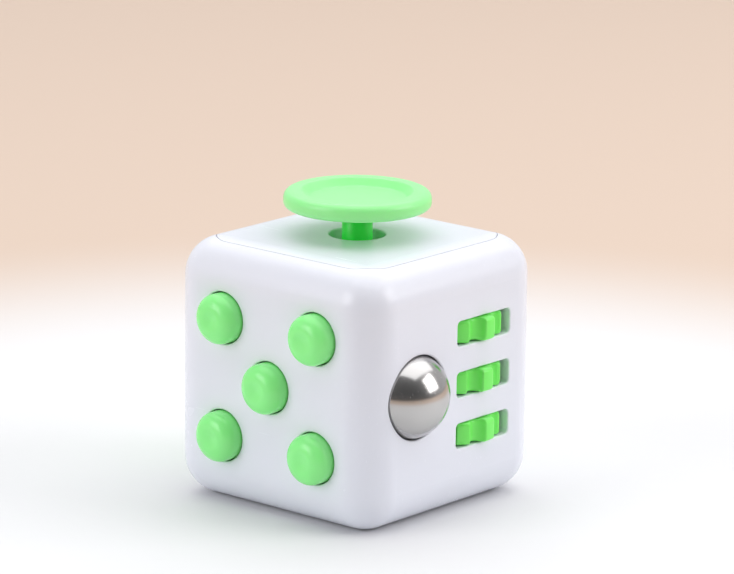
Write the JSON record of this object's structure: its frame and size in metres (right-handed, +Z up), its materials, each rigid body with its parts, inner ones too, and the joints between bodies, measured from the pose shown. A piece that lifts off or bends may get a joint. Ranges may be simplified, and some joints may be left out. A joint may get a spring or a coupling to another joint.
{
  "type": "fidget cube",
  "caption": "Palm-sized fidget cube: push buttons, rolling steel ball, thumb gears, tilting joystick, flip rocker, spinning dial and a thumb dent.",
  "frame": {"origin": "centre of the bottom face, on the surface the cube stands on", "axes": "+Z up through the joystick, -Y out through the buttons, +X out through the ball and gears"},
  "size_m": [0.0394, 0.0377, 0.0386],
  "materials": {
    "white_shell": "moulded ABS, polished",
    "green_plastic": "moulded ABS, polished",
    "frame_plastic": "moulded ABS, as moulded",
    "polished_steel": "polished bearing steel",
    "bright_steel": "turned and plated steel",
    "spring_steel": "drawn spring steel",
    "brass": "turned",
    "switch_black": "moulded nylon",
    "board_resin": "resin laminate",
    "silicone": "soft silicone"
  },
  "bodies": {
    "case": {"ball_bracket": "frame_plastic", "ball_bracket_screws": "bright_steel", "ball_spring": "spring_steel", "board_screws": "bright_steel", "bottom_panel": "white_shell", "click_switch_1": "switch_black", "click_switch_3": "switch_black", "click_switch_4": "switch_black", "dial_bush": "brass", "dial_plate": "frame_plastic", "dial_plate_screws": "bright_steel", "frame_screws": "bright_steel", "gear_axle": "bright_steel", "gear_bracket": "frame_plastic", "gear_bracket_screws": "bright_steel", "gear_leaf_spring_1": "spring_steel", "gear_leaf_spring_2": "spring_steel", "gear_leaf_spring_3": "spring_steel", "gear_spacers": "frame_plastic", "gear_washers": "bright_steel", "gimbal_outer_pins": "bright_steel", "inner_frame": "frame_plastic", "joystick_base": "frame_plastic", "joystick_base_screws": "bright_steel", "joystick_spring": "spring_steel", "rocker_housing": "frame_plastic", "rocker_pin": "bright_steel", "shell": "white_shell", "silent_dome_2": "silicone", "silent_dome_5": "silicone", "switch_board": "board_resin", "switch_snap_discs": "spring_steel", "top_panel": "white_shell"},
    "rolling_ball": {"ball": "polished_steel"},
    "ball_carrier": {"ball_cup": "frame_plastic"},
    "button_1": {"button_cap_1": "green_plastic", "switch_plunger_1": "switch_black"},
    "button_2": {"button_cap_2": "green_plastic"},
    "button_3": {"button_cap_3": "green_plastic", "switch_plunger_3": "switch_black"},
    "button_4": {"button_cap_4": "green_plastic", "switch_plunger_4": "switch_black"},
    "button_5": {"button_cap_5": "green_plastic"},
    "dial": {"dial": "green_plastic", "dial_screw": "bright_steel", "dial_washer": "bright_steel"},
    "thumb_gear_1": {"gear_1": "green_plastic"},
    "thumb_gear_2": {"gear_2": "green_plastic"},
    "thumb_gear_3": {"gear_3": "green_plastic"},
    "gimbal": {"gimbal_cross_pin": "bright_steel", "gimbal_ring": "bright_steel"},
    "joystick": {"joystick_cap": "green_plastic", "joystick_stem": "green_plastic"},
    "rocker": {"rocker": "green_plastic", "rocker_detent_plunger": "bright_steel", "rocker_detent_spring": "spring_steel"}
  },
  "joints": [
    {"name": "button_1_press", "type": "slide", "parent": "case", "child": "button_1", "axis": [0, 1, 0], "range_m": [0, 0.0008], "stiffness_N_per_m": 900, "springref_m": -0.0004},
    {"name": "button_2_press", "type": "slide", "parent": "case", "child": "button_2", "axis": [0, 1, 0], "range_m": [0, 0.0008], "stiffness_N_per_m": 900, "springref_m": -0.0004, "deforming": ["silent_dome_2"]},
    {"name": "button_3_press", "type": "slide", "parent": "case", "child": "button_3", "axis": [0, 1, 0], "range_m": [0, 0.0008], "stiffness_N_per_m": 900, "springref_m": -0.0004},
    {"name": "button_4_press", "type": "slide", "parent": "case", "child": "button_4", "axis": [0, 1, 0], "range_m": [0, 0.0008], "stiffness_N_per_m": 900, "springref_m": -0.0004},
    {"name": "button_5_press", "type": "slide", "parent": "case", "child": "button_5", "axis": [0, 1, 0], "range_m": [0, 0.0008], "stiffness_N_per_m": 900, "springref_m": -0.0004, "deforming": ["silent_dome_5"]},
    {"name": "ball_press", "type": "slide", "parent": "case", "child": "ball_carrier", "axis": [-1, 0, 0], "range_m": [0, 0.0008], "stiffness_N_per_m": 1500, "springref_m": -0.0004, "deforming": ["ball_spring"]},
    {"name": "ball_roll", "type": "hinge", "parent": "ball_carrier", "child": "rolling_ball", "pos_m": [0.01435, -0.0074, 0.0165], "axis": [0, 1, 0], "continuous": true},
    {"name": "gear_1_spin", "type": "hinge", "parent": "case", "child": "thumb_gear_1", "pos_m": [0.0116, 0.00495, 0.01], "axis": [0, 0, 1], "continuous": true, "deforming": ["gear_leaf_spring_1"]},
    {"name": "gear_2_spin", "type": "hinge", "parent": "case", "child": "thumb_gear_2", "pos_m": [0.0116, 0.00495, 0.0165], "axis": [0, 0, 1], "continuous": true, "deforming": ["gear_leaf_spring_2"]},
    {"name": "gear_3_spin", "type": "hinge", "parent": "case", "child": "thumb_gear_3", "pos_m": [0.0116, 0.00495, 0.023], "axis": [0, 0, 1], "continuous": true, "deforming": ["gear_leaf_spring_3"]},
    {"name": "stick_tilt_sideways", "type": "hinge", "parent": "case", "child": "gimbal", "pos_m": [0, 0, 0.028], "axis": [0, 1, 0], "range_deg": [-10, 10], "stiffness_Nm_per_rad": 0.03},
    {"name": "stick_tilt_forward", "type": "hinge", "parent": "gimbal", "child": "joystick", "pos_m": [0, 0, 0.028], "axis": [1, 0, 0], "range_deg": [-10, 10], "stiffness_Nm_per_rad": 0.03},
    {"name": "rocker_flip", "type": "hinge", "parent": "case", "child": "rocker", "pos_m": [0, 0.0135, 0.0165], "axis": [1, 0, 0], "range_deg": [0, 24], "deforming": ["rocker_detent_plunger", "rocker_detent_spring"]},
    {"name": "dial_spin", "type": "hinge", "parent": "case", "child": "dial", "pos_m": [-0.018, 0, 0.0165], "axis": [-1, 0, 0], "continuous": true}
  ]
}
